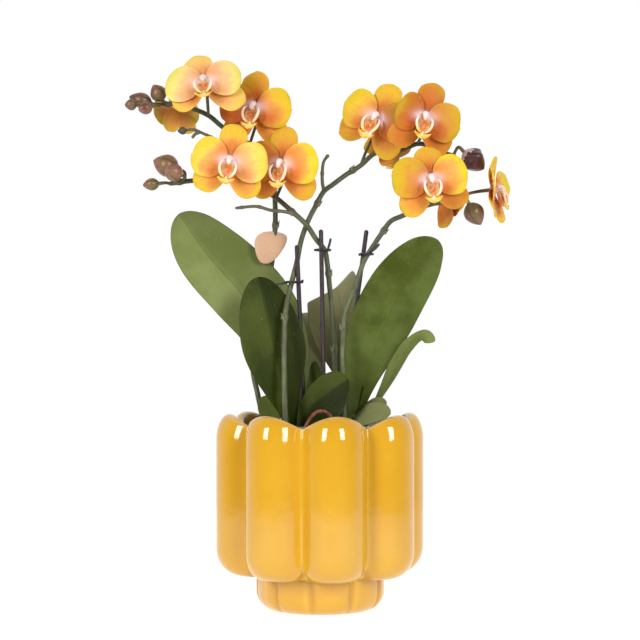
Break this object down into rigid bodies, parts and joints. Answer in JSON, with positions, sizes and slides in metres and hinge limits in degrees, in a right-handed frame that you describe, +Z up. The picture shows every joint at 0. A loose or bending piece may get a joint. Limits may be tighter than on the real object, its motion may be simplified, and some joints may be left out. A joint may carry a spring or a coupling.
{
  "type": "potted moth orchid",
  "caption": "Moth orchid with orange blooms, buds and broad leaves, tied to stakes, in a lobed glazed pot with a clear grower pot and bark.",
  "frame": {"origin": "centre of the flat underside of the pot's foot", "axes": "+Z up along the pot's axis, +X to the right of the front view, -Y towards the viewer"},
  "size_m": [0.2409, 0.149, 0.344],
  "materials": {
    "gold_glaze": "gloss",
    "clear_plastic": "gloss",
    "bark": "matte",
    "leaf_green": "satin",
    "stem_green": "satin",
    "root_brown": "matte",
    "petal_orange": "satin",
    "lip_cream": "satin",
    "bud_brown": "satin",
    "bud_dark": "satin",
    "stake_dark": "satin",
    "clip_black": "satin",
    "tag_card": "matte"
  },
  "bodies": {
    "root": {"pot": "gold_glaze", "grower_pot": "clear_plastic", "bark": "bark", "crown_left": "leaf_green", "crown_right": "leaf_green", "aerial_root": "root_brown", "leaf_upper_left": "leaf_green", "leaf_front_left": "leaf_green", "leaf_right": "leaf_green", "leaf_back_right": "leaf_green", "leaf_back_left": "leaf_green", "leaf_low_front": "leaf_green", "leaf_slender_right": "leaf_green", "leaf_over_rim": "leaf_green", "leaf_short_right": "leaf_green", "leaf_short_back": "leaf_green", "leaf_young": "leaf_green", "spike_back_left": "stem_green", "spike_left": "stem_green", "spike_right_upper": "stem_green", "spike_right_lower": "stem_green", "stake_left": "stake_dark", "stake_middle": "stake_dark", "stake_right": "stake_dark", "clip_left": "clip_black", "clip_middle": "clip_black", "clip_right": "clip_black", "tag": "tag_card", "bloom_1_petals": "petal_orange", "bloom_1_lip": "lip_cream", "bloom_2_petals": "petal_orange", "bloom_2_lip": "lip_cream", "bloom_3_petals": "petal_orange", "bloom_3_lip": "lip_cream", "bloom_4_petals": "petal_orange", "bloom_4_lip": "lip_cream", "bloom_5_petals": "petal_orange", "bloom_5_lip": "lip_cream", "bloom_6_petals": "petal_orange", "bloom_6_lip": "lip_cream", "bloom_7_petals": "petal_orange", "bloom_7_lip": "lip_cream", "bloom_8_petals": "petal_orange", "bloom_8_lip": "lip_cream", "bloom_9_petals": "petal_orange", "bloom_9_lip": "lip_cream", "bloom_10_petals": "petal_orange", "bloom_10_lip": "lip_cream", "bloom_11_petals": "petal_orange", "bloom_11_lip": "lip_cream", "bud_1": "bud_brown", "bud_2": "bud_brown", "bud_3": "bud_brown", "bud_4": "bud_brown", "bud_5": "bud_brown", "bud_6": "bud_brown", "bud_7": "bud_brown", "bud_8": "bud_dark", "bud_9": "bud_brown"}
  },
  "joints": []
}
